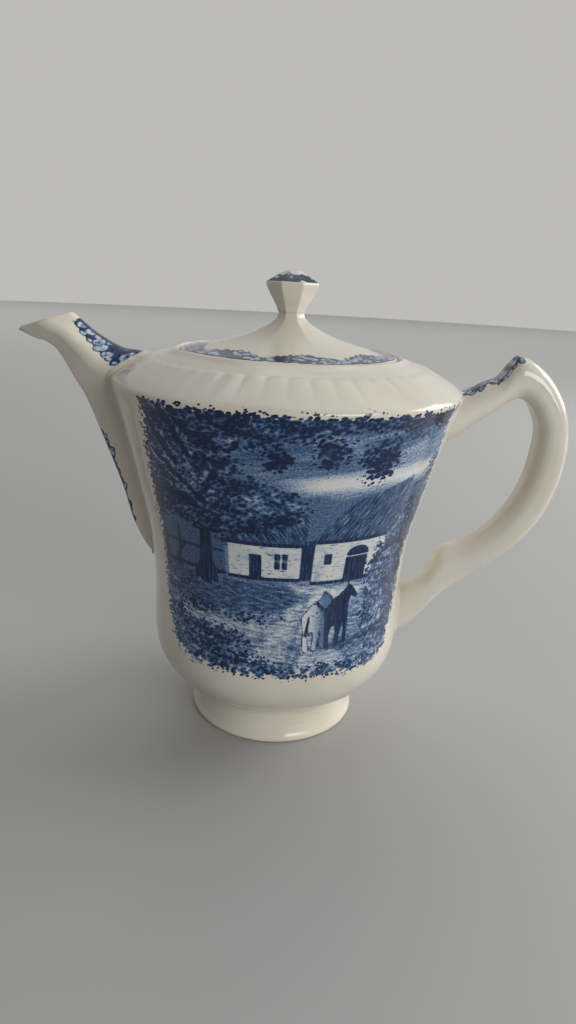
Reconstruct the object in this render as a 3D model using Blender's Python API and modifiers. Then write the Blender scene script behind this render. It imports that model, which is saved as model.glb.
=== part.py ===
"""Lidded ceramic teapot: waisted body with a conical shoulder, foot ring, beak spout, loop handle, lid and knob.

Lengths are in millimetres and become metres where a mesh is made. Shapes are laid out with the pot's own
axis at x = 0, the spout towards -X and the handle towards +X. The empty "pot_axis" then carries them to
the origin, which is the middle of the whole pot's footprint on the table.
"""

import math

import bmesh
import bpy
import numpy as np
from mathutils import Vector

MM = 0.001
GAP = 0.3  # between pieces that are luted together or rest on each other
TURN_STEPS = 48  # flats round a turned piece

# Overall reach
SPOUT_TIP_X = -113.6
HANDLE_BACK_X = 122.5
AXIS_X = -(SPOUT_TIP_X + HANDLE_BACK_X) / 2
POT_HEIGHT = 199.8

# Body
SHOULDER_R, SHOULDER_Z = 74.0, 154.4
WALL = 4.5
UNDERSIDE_Z = 15.5
FOOT_JOINT_R = 37.0
RIM_Z = 167.5
RIM_R = 47.4
SEAT_R = 46.2  # inside of the raised rim, round the lid
SEAT_Z = 164.0
NECK_R = 38.0
NECK_BOTTOM_Z = 158.6
STRAINER_HOLE_R = 2.3
STRAINER_PITCH = 6.2
STRAINER_Z = 112.0

# Foot ring
FOOT_R = 38.5
FOOT_INNER_R = 31.0
FOOT_WAIST_R = 36.6
FOOT_EDGE = 0.8

# Lid
LID_R = 45.4
LID_RIM_Z = 167.3
LID_FLANGE_R = 37.1
LID_FLANGE_WALL = 3.2
LID_FLANGE_BOTTOM_Z = 153.0
LID_NECK_R = 5.4
KNOB_BASE_Z = 182.5

# Knob
KNOB_SIDES = 8
KNOB_BASE_R = 5.8
KNOB_RIM_R = 11.6
KNOB_RIM_Z = 194.2

# Spout: stations from its root at the bottom to the mouth. Each is the front point (x, z), the back
# point (x, z), the half width, and how blunt the front is (1 flat, 0 pointed).
SPOUT_WALL = 3.0
SPOUT_STATIONS = [
    ((-54.0, 71.0), (-38.0, 71.5), 4.5, 0.60),
    ((-61.0, 77.0), (-40.0, 83.0), 8.5, 0.60),
    ((-66.4, 89.6), (-43.0, 98.0), 10.2, 0.60),
    ((-70.6, 104.6), (-46.0, 116.0), 11.4, 0.58),
    ((-76.9, 121.7), (-48.0, 140.0), 12.2, 0.56),
    ((-84.9, 142.1), (-58.5, 161.6), 12.0, 0.54),
    ((-90.9, 152.6), (-71.0, 165.4), 11.0, 0.52),
    ((-96.6, 162.0), (-80.4, 170.3), 9.6, 0.50),
    ((-101.6, 166.0), (-86.0, 174.6), 9.0, 0.46),
    ((-107.2, 167.4), (-88.8, 177.0), 8.8, 0.40),
    ((SPOUT_TIP_X, 170.2), (-89.8, 177.8), 8.4, 0.26),
]
SPOUT_RIDGE = 0.58  # where the side is widest, from the front (0) to the back (1)
SPOUT_BACK_FLAT = 0.22  # half width of the back face, as a share of the half width
CHANNEL_FIRST_STATION = 1  # the channel's floor, inside the spout's root
PAST_MOUTH = (-1.2, 0.0, 3.8)  # how far the channel's cutter runs on beyond the mouth

# Handle: stations from the upper root over the thumb rest to the lower root. Each is the outer point
# (x, z), the inner point (x, z) and the width across.
HANDLE_STATIONS = [
    ((64.0, 150.0), (58.0, 124.0), 20.0),
    ((76.0, 154.6), (71.5, 133.4), 19.6),
    ((83.5, 158.4), (80.5, 140.5), 18.8),
    ((90.0, 161.2), (88.5, 146.9), 18.2),
    ((94.0, 167.2), (93.4, 150.4), 18.0),
    ((97.4, 170.3), (98.3, 152.7), 18.0),
    ((105.4, 166.6), (102.6, 151.2), 18.0),
    ((113.4, 158.6), (106.2, 146.6), 17.8),
    ((120.0, 146.6), (109.0, 139.2), 17.6),
    ((HANDLE_BACK_X, 130.0), (108.8, 129.0), 17.4),
    ((120.4, 112.6), (106.8, 117.2), 17.2),
    ((115.0, 98.4), (102.0, 105.8), 17.0),
    ((105.8, 85.8), (94.2, 94.9), 16.8),
    ((93.5, 74.9), (84.2, 86.7), 16.4),
    ((81.4, 65.7), (74.3, 82.9), 16.0),
    ((74.4, 59.0), (70.6, 77.0), 15.8),
    ((67.6, 50.2), (66.6, 69.2), 15.6),
    ((62.2, 40.4), (58.4, 63.0), 15.4),
    ((57.8, 33.4), (52.0, 58.0), 15.2),
    ((49.0, 26.5), (44.0, 52.0), 15.0),
]
HANDLE_CORNER = 0.42  # corner radius, as a share of the smaller side

IVORY_GLAZE = (0.84, 0.80, 0.69, 1.0)
CREAM_GLAZE = (0.86, 0.80, 0.64, 1.0)
PRINTED_GLAZE = (0.42, 0.47, 0.58, 1.0)


def clear_scene():
    for obj in list(bpy.data.objects):
        bpy.data.objects.remove(obj, do_unlink=True)


def new_collection(name, hidden=False):
    collection = bpy.data.collections.new(name)
    bpy.context.scene.collection.children.link(collection)
    collection.hide_render = hidden
    return collection


def glaze(name, color, roughness):
    """A glossy, non-metallic glaze."""
    material = bpy.data.materials.new(name)
    material.use_nodes = True
    shader = material.node_tree.nodes["Principled BSDF"]
    shader.inputs["Base Color"].default_value = color
    shader.inputs["Roughness"].default_value = roughness
    shader.inputs["Metallic"].default_value = 0.0
    return material


def spline(points, per_span):
    """Points along a smooth curve that passes through every given point."""
    known = np.array(points, float)
    ends = np.vstack([2 * known[0] - known[1], known, 2 * known[-1] - known[-2]])
    path = []
    for i in range(1, len(ends) - 2):
        before, start, end, after = ends[i - 1 : i + 3]
        for step in range(per_span):
            t = step / per_span
            path.append(
                0.5
                * (
                    2 * start
                    + (end - before) * t
                    + (2 * before - 5 * start + 4 * end - after) * t**2
                    + (3 * start - before - 3 * end + after) * t**3
                )
            )
    path.append(known[-1])
    return [tuple(point) for point in path]


def offset(profile, distance):
    """A profile of (radius, height) moved along its own normals, outwards where it runs downwards."""
    path = np.array(profile, float)
    along = np.gradient(path, axis=0)
    normal = np.column_stack([-along[:, 1], along[:, 0]])
    normal /= np.linalg.norm(normal, axis=1)[:, None]
    return [tuple(point) for point in path + distance * normal]


def add_object(name, mesh, collection, parent, material=None):
    obj = bpy.data.objects.new(name, mesh)
    collection.objects.link(obj)
    obj.parent = parent
    if material:
        mesh.materials.append(material)
    if collection.hide_render:
        obj.hide_render = True
        obj.display_type = "WIRE"
    return obj


def turned(name, profile, collection, parent, material=None, steps=TURN_STEPS, closed=False):
    """A solid of revolution about Z from a (radius, height) profile that runs down its outer side."""
    points = [(r * MM, 0.0, z * MM) for r, z in profile]
    edges = [(i, i + 1) for i in range(len(points) - 1)]
    if closed:
        edges.append((len(points) - 1, 0))
    mesh = bpy.data.meshes.new(name)
    mesh.from_pydata(points, edges, [])
    obj = add_object(name, mesh, collection, parent, material)
    screw = obj.modifiers.new("turn", "SCREW")
    screw.steps = screw.render_steps = steps
    screw.use_merge_vertices = True
    screw.merge_threshold = 0.00001
    screw.use_smooth_shade = steps > KNOB_SIDES
    return obj


def lofted(name, sections, collection, parent, material=None):
    """A closed skin over equal-length rings of (x, y, z) points, with a flat cap at each end."""
    form = bmesh.new()
    rings = [[form.verts.new(Vector(point) * MM) for point in ring] for ring in sections]
    count = len(rings[0])
    for low, high in zip(rings, rings[1:]):
        for i in range(count):
            j = (i + 1) % count
            form.faces.new((low[i], low[j], high[j], high[i]))
    form.faces.new(list(reversed(rings[0])))
    form.faces.new(rings[-1])
    bmesh.ops.recalc_face_normals(form, faces=form.faces)
    mesh = bpy.data.meshes.new(name)
    form.to_mesh(mesh)
    form.free()
    mesh.shade_smooth()
    mesh.set_sharp_from_angle(angle=math.radians(40))
    return add_object(name, mesh, collection, parent, material)


def cut(obj, cutter):
    boolean = obj.modifiers.new("less_" + cutter.name, "BOOLEAN")
    boolean.operation = "DIFFERENCE"
    boolean.object = cutter


def outer_wall():
    """The body's outside, from the rim over the shoulder and down to the joint with the foot ring."""
    shoulder = spline(
        [(RIM_R, RIM_Z), (50.4, 165.9), (56.0, 164.0), (65.0, 160.0), (71.2, 156.6), (SHOULDER_R, SHOULDER_Z)], 2
    )
    side = spline(
        [
            (SHOULDER_R, SHOULDER_Z),
            (71.4, 147.5),
            (66.8, 130.0),
            (61.4, 108.0),
            (57.3, 88.0),
            (56.0, 66.0),
            (56.2, 46.0),
            (54.8, 34.5),
            (49.6, 25.4),
            (42.6, 18.8),
            (FOOT_JOINT_R, UNDERSIDE_Z),
        ],
        2,
    )
    return shoulder + side[1:]


def cavity_wall():
    """The body's inside, from the middle of its floor up to the neck under the lid."""
    floor_z = UNDERSIDE_Z + WALL
    side = spline(
        [
            (30.0, floor_z),
            (40.0, 22.8),
            (48.2, 31.0),
            (51.6, 46.0),
            (51.5, 66.0),
            (52.8, 88.0),
            (57.0, 108.0),
            (62.2, 130.0),
            (66.6, 146.5),
            (67.4, 152.2),
        ],
        1,
    )
    return [(0.0, floor_z)] + side + [(60.0, 156.2), (50.0, 159.4), (NECK_R + 1.6, NECK_BOTTOM_Z + 1.2)]


def make_body(parts, cutters, pot):
    neck = [
        (NECK_R, NECK_BOTTOM_Z + 2.4),
        (NECK_R, SEAT_Z - 0.6),
        (NECK_R + 0.6, SEAT_Z),
        (SEAT_R, SEAT_Z),
        (SEAT_R, RIM_Z - 0.7),
        (SEAT_R + 0.5, RIM_Z),
    ]
    profile = cavity_wall() + neck + outer_wall() + [(0.0, UNDERSIDE_Z)]
    body = turned("body", profile, parts, pot, glaze("printed_glaze", PRINTED_GLAZE, 0.12))
    for hole in strainer_holes(cutters, pot):
        cut(body, hole)
    return body


def strainer_holes(cutters, pot):
    """Holes through the wall behind the spout: one in the middle and six round it."""
    places = [(0.0, 0.0)]
    places += [
        (STRAINER_PITCH * math.cos(angle), STRAINER_PITCH * math.sin(angle))
        for angle in (math.radians(60 * i + 30) for i in range(6))
    ]
    holes = []
    for number, (across, up) in enumerate(places):
        form = bmesh.new()
        bmesh.ops.create_cone(
            form,
            cap_ends=True,
            segments=10,
            radius1=STRAINER_HOLE_R * MM,
            radius2=STRAINER_HOLE_R * MM,
            depth=24.0 * MM,
        )
        mesh = bpy.data.meshes.new(f"strainer_hole_{number}")
        form.to_mesh(mesh)
        form.free()
        hole = add_object(mesh.name, mesh, cutters, pot)
        hole.rotation_euler = (0.0, math.radians(90), 0.0)
        hole.location = Vector((-60.0, across, STRAINER_Z + up)) * MM
        holes.append(hole)
    return holes


def make_foot_ring(parts, pot):
    top_z = UNDERSIDE_Z - GAP
    profile = [
        (FOOT_INNER_R + 1.4, top_z),
        (FOOT_JOINT_R, top_z),
        (FOOT_WAIST_R, 11.0),
        (FOOT_WAIST_R + 0.4, 5.5),
        (FOOT_R - 0.4, 2.6),
        (FOOT_R, FOOT_EDGE),
        (FOOT_R - FOOT_EDGE, 0.0),
        (FOOT_INNER_R + FOOT_EDGE, 0.0),
        (FOOT_INNER_R, FOOT_EDGE),
    ]
    material = glaze("foot_glaze", CREAM_GLAZE, 0.18)
    return turned("foot_ring", profile, parts, pot, material, closed=True)


def make_envelope(cutters, pot):
    """The body without its hollow and a gap larger, which trims what is luted to it."""
    shoulder_and_side = offset(outer_wall(), GAP)
    top_z = shoulder_and_side[0][1]
    bottom_z = shoulder_and_side[-1][1]
    profile = [(0.0, top_z)] + shoulder_and_side + [(0.0, bottom_z)]
    return turned("body_envelope", profile, cutters, pot)


def spout_section(front, back, half_width, blunt, inset=0.0):
    """A rounded hexagon in the plane of its front and back points, shrunk all round by inset."""
    depth = math.dist(front, back)
    wide = half_width - inset
    outline = [
        (0.0, blunt * 0.5),
        (0.05, blunt * 0.78),
        (0.30, 0.5 + 0.5 * blunt),
        (SPOUT_RIDGE - 0.12, 0.97),
        (SPOUT_RIDGE, 1.0),
        (SPOUT_RIDGE + 0.08, 0.92),
        (0.95, SPOUT_BACK_FLAT + 0.14),
        (1.0, SPOUT_BACK_FLAT),
    ]
    near = [(inset + share * (depth - 2 * inset), -side * wide) for share, side in outline]
    ring = near + [(along, -across) for along, across in reversed(near)]
    step = ((back[0] - front[0]) / depth, (back[1] - front[1]) / depth)
    return [(front[0] + along * step[0], across, front[1] + along * step[1]) for along, across in ring]


def spout_stations(per_span):
    flat = [(*front, *back, half_width, blunt) for front, back, half_width, blunt in SPOUT_STATIONS]
    return [((x1, z1), (x2, z2), wide, blunt) for x1, z1, x2, z2, wide, blunt in spline(flat, per_span)]


def make_spout(parts, cutters, pot, envelope):
    per_span = 2
    stations = spout_stations(per_span)
    sections = [spout_section(*station) for station in stations]
    spout = lofted("spout", sections, parts, pot, glaze("spout_glaze", IVORY_GLAZE, 0.12))

    inner = stations[CHANNEL_FIRST_STATION * per_span :]
    rings = [spout_section(*station, inset=SPOUT_WALL) for station in inner]
    rings.append([tuple(Vector(point) + Vector(PAST_MOUTH)) for point in rings[-1]])
    channel = lofted("spout_channel", rings, cutters, pot)
    cut(spout, channel)
    cut(spout, envelope)
    return spout


def handle_section(outer, inner, width):
    """A rectangle with round corners in the plane of its outer and inner points."""
    thickness = math.dist(outer, inner)
    radius = HANDLE_CORNER * min(thickness, width)
    ring = []
    for turn, (sign_along, sign_across) in enumerate([(1, 1), (-1, 1), (-1, -1), (1, -1)]):
        centre = (sign_along * (thickness / 2 - radius), sign_across * (width / 2 - radius))
        for step in range(4):
            angle = math.radians(90 * turn + 30 * step)
            ring.append((centre[0] + radius * math.cos(angle), centre[1] + radius * math.sin(angle)))
    middle = ((outer[0] + inner[0]) / 2, (outer[1] + inner[1]) / 2)
    out = ((outer[0] - inner[0]) / thickness, (outer[1] - inner[1]) / thickness)
    return [(middle[0] + along * out[0], across, middle[1] + along * out[1]) for along, across in ring]


def make_handle(parts, pot, envelope):
    flat = [(*outer, *inner, width) for outer, inner, width in HANDLE_STATIONS]
    sections = [handle_section((x1, z1), (x2, z2), width) for x1, z1, x2, z2, width in spline(flat, 2)]
    handle = lofted("handle", sections, parts, pot, glaze("handle_glaze", IVORY_GLAZE, 0.12))
    cut(handle, envelope)
    return handle


def make_lid(parts, pot):
    top_z = KNOB_BASE_Z - GAP
    underside_z = SEAT_Z + GAP
    flange_inner_r = LID_FLANGE_R - LID_FLANGE_WALL
    hollow = spline([(0.0, 173.2), (10.0, 172.0), (20.0, 168.9), (30.0, 166.4), (flange_inner_r, 165.2)], 1)
    flange = [
        (flange_inner_r, LID_FLANGE_BOTTOM_Z + 0.8),
        (flange_inner_r + 0.8, LID_FLANGE_BOTTOM_Z),
        (LID_FLANGE_R - 0.8, LID_FLANGE_BOTTOM_Z),
        (LID_FLANGE_R, LID_FLANGE_BOTTOM_Z + 0.8),
        (LID_FLANGE_R, underside_z),
    ]
    rim = [(LID_R - 0.5, underside_z), (LID_R, underside_z + 0.5), (LID_R, LID_RIM_Z - 0.8)]
    sweep = spline(
        [(LID_R - 0.8, LID_RIM_Z), (38.0, 168.4), (28.0, 170.9), (18.0, 174.1), (10.0, 178.0), (6.4, 180.8), (LID_NECK_R, top_z)],
        2,
    )
    profile = [(0.0, top_z)] + sweep[::-1] + rim[::-1] + flange[::-1] + hollow[::-1]
    return turned("lid", profile, parts, pot, glaze("lid_glaze", IVORY_GLAZE, 0.12))


def make_knob(parts, pot):
    flare = spline([(KNOB_BASE_R, KNOB_BASE_Z), (6.8, 185.4), (8.8, 188.6), (KNOB_RIM_R - 0.5, 192.6)], 2)
    cap = spline([(KNOB_RIM_R - 0.4, KNOB_RIM_Z + 0.7), (7.4, 197.2), (3.6, 199.1), (0.0, POT_HEIGHT)], 2)
    profile = cap[::-1] + [(KNOB_RIM_R, KNOB_RIM_Z)] + flare[::-1] + [(0.0, KNOB_BASE_Z)]
    return turned("knob", profile, parts, pot, glaze("knob_glaze", IVORY_GLAZE, 0.12), steps=KNOB_SIDES)


def main():
    clear_scene()
    parts = new_collection("teapot")
    cutters = new_collection("cutters", hidden=True)
    pot = bpy.data.objects.new("pot_axis", None)
    parts.objects.link(pot)
    pot.location = (AXIS_X * MM, 0.0, 0.0)

    envelope = make_envelope(cutters, pot)
    make_body(parts, cutters, pot)
    make_foot_ring(parts, pot)
    make_spout(parts, cutters, pot, envelope)
    make_handle(parts, pot, envelope)
    make_lid(parts, pot)
    make_knob(parts, pot)


main()
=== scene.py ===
"""The looks of the printed ceramic teapot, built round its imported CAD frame.

The CAD nodes are replaced by finely meshed glazed pieces of the same size: the luted joints get their
fillets, the shoulder its gadroons, the lid and the knob their soft facets, and the glaze its blue print.
Lengths are in millimetres, x and y from the pot's own axis and z from the table, and become metres
where a mesh is made. Azimuths are degrees round the axis from the front (-Y) towards the handle (+X).
"""

import math

import bpy
import numpy as np
from mathutils import Matrix, Vector
from mathutils.bvhtree import BVHTree
from mathutils.kdtree import KDTree


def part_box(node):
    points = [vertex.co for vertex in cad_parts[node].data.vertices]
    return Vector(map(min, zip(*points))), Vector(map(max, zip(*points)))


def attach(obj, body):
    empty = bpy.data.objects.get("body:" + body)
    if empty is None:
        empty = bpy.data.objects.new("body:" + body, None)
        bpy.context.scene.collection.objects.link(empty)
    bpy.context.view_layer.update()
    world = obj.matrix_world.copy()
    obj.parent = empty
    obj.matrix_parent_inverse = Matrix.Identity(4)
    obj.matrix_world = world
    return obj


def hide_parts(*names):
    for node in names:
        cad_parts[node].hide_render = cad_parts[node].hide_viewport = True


MM = 0.001

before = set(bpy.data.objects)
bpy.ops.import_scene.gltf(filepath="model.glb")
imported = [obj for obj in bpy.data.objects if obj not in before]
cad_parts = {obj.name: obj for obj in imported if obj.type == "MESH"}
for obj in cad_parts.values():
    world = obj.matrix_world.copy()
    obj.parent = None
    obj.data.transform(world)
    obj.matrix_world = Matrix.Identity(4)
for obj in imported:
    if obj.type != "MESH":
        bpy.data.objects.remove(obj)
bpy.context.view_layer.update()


def box_mm(node):
    low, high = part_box(node)
    return np.array(low) / MM, np.array(high) / MM


body_low, body_high = box_mm("body")
foot_low, foot_high = box_mm("foot_ring")
spout_low, _ = box_mm("spout")
_, handle_high = box_mm("handle")
lid_low, lid_high = box_mm("lid")
knob_low, knob_high = box_mm("knob")

AXIS_X = (foot_low[0] + foot_high[0]) / 2
SPOUT_TIP_X = spout_low[0] - AXIS_X
HANDLE_BACK_X = handle_high[0] - AXIS_X
SHOULDER_R = body_high[1]
SHOULDER_Z = 154.4
RIM_Z = body_high[2]
UNDERSIDE_Z = body_low[2]
FOOT_R = foot_high[1]
LID_R = lid_high[1]
LID_FLANGE_Z = lid_low[2]
LID_FLANGE_R = 37.1
KNOB_BASE_Z = knob_low[2]
KNOB_TOP_Z = knob_high[2]
KNOB_RIM_Z = 194.9
SPOUT_AZIMUTH = -90.0
HANDLE_AZIMUTH = 90.0
UNPRINTED = -9.0


# ---- curves


def spline(points, per_span):
    """Points along a smooth curve that passes through every given point."""
    known = np.array(points, float)
    ends = np.vstack([2 * known[0] - known[1], known, 2 * known[-1] - known[-2]])
    steps = np.arange(per_span)[:, None] / per_span
    spans = []
    for before, start, end, after in zip(ends, ends[1:], ends[2:], ends[3:]):
        bend = 2 * before - 5 * start + 4 * end - after
        twist = 3 * start - before - 3 * end + after
        spans.append(0.5 * (2 * start + (end - before) * steps + bend * steps**2 + twist * steps**3))
    return np.vstack(spans + [known[-1:]])


def reach_along(path):
    return np.concatenate([[0], np.cumsum(np.linalg.norm(np.diff(path, axis=0), axis=1))])


def read_path(path, at):
    """The points of a path at the given distances along it."""
    reach = reach_along(path)
    return np.column_stack([np.interp(at, reach, column) for column in path.T])


def resampled(path, spacing):
    path = np.asarray(path, float)
    length = reach_along(path)[-1]
    return read_path(path, np.linspace(0, length, max(2, round(length / spacing) + 1)))


def even_ring(ring, count):
    closed = np.vstack([ring, ring[:1]])
    return read_path(closed, np.linspace(0, reach_along(closed)[-1], count, endpoint=False))


def softened(path, radius, closed=False):
    """The path with its corners rounded, as glaze rounds an edge. An open path keeps its ends."""
    spacing = 0.2
    fine = resampled(np.vstack([path, path[:1]]) if closed else path, spacing)
    reach = round(3 * radius / spacing)
    weights = np.exp(-0.5 * (np.arange(-reach, reach + 1) * spacing / radius) ** 2)
    weights /= weights.sum()
    if closed:
        fine = fine[:-1]
        padded = np.vstack([fine[-reach:], fine, fine[:reach]])
    else:
        before = 2 * fine[0] - fine[reach:0:-1]
        after = 2 * fine[-1] - fine[-2 : -reach - 2 : -1]
        padded = np.vstack([before, fine, after])
    return np.column_stack([np.convolve(column, weights, "valid") for column in padded.T])


def smoothstep(low, high, value):
    t = np.clip((value - low) / (high - low), 0, 1)
    return t * t * (3 - 2 * t)


# ---- meshes


def outward(points, faces):
    """The faces, all turned round if together they point into the solid."""
    triangles = [face[:3] for face in faces] + [(face[0], *face[2:]) for face in faces if len(face) == 4]
    a, b, c = points[np.array(triangles)].transpose(1, 0, 2)
    volume = np.einsum("ij,ij->", a, np.cross(b, c))
    return faces if volume > 0 else [face[::-1] for face in faces]


def mesh_object(name, points, faces):
    mesh = bpy.data.meshes.new(name)
    mesh.from_pydata(((points + (AXIS_X, 0, 0)) * MM).tolist(), [], faces)
    mesh.shade_smooth()
    obj = bpy.data.objects.new(name, mesh)
    bpy.context.scene.collection.objects.link(obj)
    return obj


def point_attribute(obj, name, values):
    """A vector on each point of the mesh."""
    stored = obj.data.attributes.new(name, "FLOAT_VECTOR", "POINT")
    stored.data.foreach_set("vector", np.asarray(values, np.float32).ravel())


def turned(line, azimuths):
    """The radius and the height of every point when a profile is turned to each azimuth."""
    return tuple(np.repeat(line[:, [column]], len(azimuths), axis=1) for column in (0, 1))


def turned_skin(radius, height, azimuths):
    """Points and faces of a surface of revolution whose rows (radius, height) may change with azimuth.
    A first or last row on the axis becomes one point. Other rows join end to end."""
    turn = np.radians(azimuths)
    points = np.stack([radius * np.sin(turn), -radius * np.cos(turn), height], axis=-1).reshape(-1, 3)
    rows, columns = radius.shape
    open_ends = radius[0].max() < 1e-6
    index = np.arange(rows * columns).reshape(rows, columns)
    kept = np.ones(rows * columns, bool)
    if open_ends:
        for end in (0, rows - 1):
            kept[index[end, 1:]] = False
            index[end, :] = index[end, 0]
    renumbered = np.cumsum(kept) - 1
    faces = []
    for i in range(rows - 1 if open_ends else rows):
        low, high = renumbered[index[i]], renumbered[index[(i + 1) % rows]]
        for j in range(columns):
            k = (j + 1) % columns
            corners = (int(low[j]), int(high[j]), int(high[k]), int(low[k]))
            faces.append(tuple(dict.fromkeys(corners)))
    return points[kept], outward(points[kept], faces), kept


def facets(azimuths, share):
    """How much an eight-sided turning stands back from its round at each azimuth."""
    half, soft_corner = 22.5, 0.993
    across = (azimuths + half) % (2 * half) - half
    flat = math.cos(math.radians(half)) / np.cos(np.radians(across))
    return 1 - share * (1 - np.minimum(flat, soft_corner))


def turned_piece(name, line, step, share=0.0):
    """A piece turned from a profile, eight-sided by share. Also gives the azimuths, the radius and the
    height of its grid, and which points of the grid it kept."""
    azimuths = np.arange(0, 360, step)
    radius, height = turned(line, azimuths)
    radius = radius * facets(azimuths[None, :], share)
    points, faces, kept = turned_skin(radius, height, azimuths)
    return mesh_object(name, points, faces), azimuths, radius, height, kept


def tube_skin(rings):
    """Points and faces of a closed skin over rings of equal length, with a fan at each end."""
    count = len(rings[0])
    points = np.vstack([*rings, rings[0].mean(0)[None], rings[-1].mean(0)[None]])
    first, last = len(points) - 2, len(points) - 1
    top = (len(rings) - 1) * count
    around = [(j, (j + 1) % count) for j in range(count)]
    faces = []
    for low in range(0, top, count):
        faces += [(low + j, low + k, low + count + k, low + count + j) for j, k in around]
    for j, k in around:
        faces += [(first, k, j), (last, top + j, top + k)]
    return points, outward(points, faces)


def side_tree(rings):
    """A tree of a tube's side without its ends, for distances to the side."""
    points, faces = tube_skin(rings)
    ends = {len(points) - 2, len(points) - 1}
    return BVHTree.FromPolygons(points.tolist(), [face for face in faces if not ends & set(face)])


def cut(obj, cutter):
    """Takes the cutter out of the object for good, and removes the cutter."""
    boolean = obj.modifiers.new("cut", "BOOLEAN")
    boolean.operation = "DIFFERENCE"
    boolean.object = cutter
    evaluated = obj.evaluated_get(bpy.context.evaluated_depsgraph_get())
    whole = obj.data
    obj.data = bpy.data.meshes.new_from_object(evaluated)
    obj.modifiers.clear()
    bpy.data.meshes.remove(whole)
    bpy.data.objects.remove(cutter)
    obj.data.shade_smooth()


def points_mm(obj):
    points = np.zeros(len(obj.data.vertices) * 3)
    obj.data.vertices.foreach_get("co", points)
    return points.reshape(-1, 3) / MM - (AXIS_X, 0, 0)


def carried_over(obj, points, values):
    """For each point of the object, the value of the nearest of the points it was made from."""
    tree = KDTree(len(points))
    for i, point in enumerate(points):
        tree.insert(point, i)
    tree.balance()
    return np.array([values[tree.find(point)[1]] for point in points_mm(obj)])


# ---- the pot's wall


def outer_wall():
    """The body's outside, from the rim over the shoulder and down to the joint with the foot ring."""
    edge = (SHOULDER_R, SHOULDER_Z)
    shoulder = [(47.4, RIM_Z), (50.4, 165.9), (56, 164), (65, 160), (71.2, 156.6), edge]
    side = [edge, (71.4, 147.5), (66.8, 130), (61.4, 108), (57.3, 88), (56, 66)]
    side += [(56.2, 46), (54.8, 34.5), (49.6, 25.4), (42.6, 18.8), (37, UNDERSIDE_Z)]
    return softened(np.vstack([spline(shoulder, 16), spline(side, 16)[1:]]), 0.9)


WALL = outer_wall()
EDGE_ROW = int(np.argmax(WALL[:, 0]))


def wall_radius(z):
    """The body's outer radius at a height, below its shoulder edge or over the shoulder."""
    side, shoulder = WALL[EDGE_ROW:][::-1], WALL[: EDGE_ROW + 1]
    over = np.interp(z, shoulder[::-1, 1], shoulder[::-1, 0])
    return np.where(z <= WALL[EDGE_ROW, 1], np.interp(z, side[:, 1], side[:, 0]), over)


def wall_core():
    """A plug that fills the pot to 2 mm under its outer surface, to cut the joined pieces' roots with."""
    inset, below_rim = 2.0, 3
    line = resampled(WALL - wall_normals(WALL) * inset, 1.0)
    line = line[line[:, 1] < RIM_Z - below_rim]
    line = np.vstack([[(0, line[0, 1])], line, [(0, line[-1, 1])]])
    return turned_piece("core", line, 1.5)[0]


def wall_normals(rows):
    """The direction out of the wall at each of its rows, as parts along the radius and the height."""
    along = np.gradient(rows, axis=0)
    return np.column_stack([-along[:, 1], along[:, 0]]) / np.linalg.norm(along, axis=1)[:, None]


def in_plane(ring, origin, start, end):
    """A flat ring of (along, across) as points: along runs from the origin as from start to end."""
    way = (end - start) / math.dist(start, end)
    return np.column_stack([origin[0] + ring[:, 0] * way[0], ring[:, 1], origin[1] + ring[:, 0] * way[1]])


# ---- spout

SPOUT_WALL = 3.0
# From the root to the lip: x and z of the front, x and z of the back, half the width, the front's bluntness.
SPOUT_STATIONS = [
    (-43, 63, -33, 62, 2.6, 0.60),
    (-53, 70.6, -38, 71, 4.6, 0.60),
    (-60.2, 76.8, -40, 83, 8.4, 0.60),
    (-66.4, 89.6, -43, 98, 10.2, 0.60),
    (-70.6, 104.6, -46, 116, 11.4, 0.58),
    (-76.9, 121.7, -48, 140, 12.2, 0.56),
    (-84.9, 142.1, -58.5, 161.6, 12, 0.54),
    (-90.9, 152.6, -71, 165.4, 11, 0.52),
    (-96.6, 162, -80.4, 170.3, 9.6, 0.50),
    (-101.6, 166, -86, 174.6, 9, 0.46),
    (-107.2, 167.4, -88.8, 177, 8.8, 0.40),
    (SPOUT_TIP_X, 170.2, -89.8, 177.8, 8.4, 0.26),
]
SPOUT_RIDGE = 0.58
SPOUT_BACK_FLAT = 0.22
SPOUT_PER_SPAN = 9
SPOUT_RING = 96


def spout_ring(station, inset=0.0):
    """A soft-cornered hexagon in the plane of the station's front and back points, shrunk by inset.
    Also gives how far each point lies from front (0) to back (1)."""
    front, back, half_width, blunt = station[0:2], station[2:4], station[4], station[5]
    depth = math.dist(front, back)
    outline = [(0, 0), (0, blunt * 0.5), (0.05, blunt * 0.78), (0.30, 0.5 + 0.5 * blunt)]
    outline += [(SPOUT_RIDGE - 0.12, 0.97), (SPOUT_RIDGE, 1), (SPOUT_RIDGE + 0.08, 0.92)]
    outline += [(0.95, SPOUT_BACK_FLAT + 0.14), (1, SPOUT_BACK_FLAT), (1, 0)]
    wide = half_width - inset
    near = np.array([(inset + share * (depth - 2 * inset), -side * wide) for share, side in outline])
    ring = softened(np.vstack([near, near[-2:0:-1] * (1, -1)]), 0.8, closed=True)
    ring = even_ring(ring, SPOUT_RING)
    return in_plane(ring, front, front, back), ring[:, 0] / depth


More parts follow.
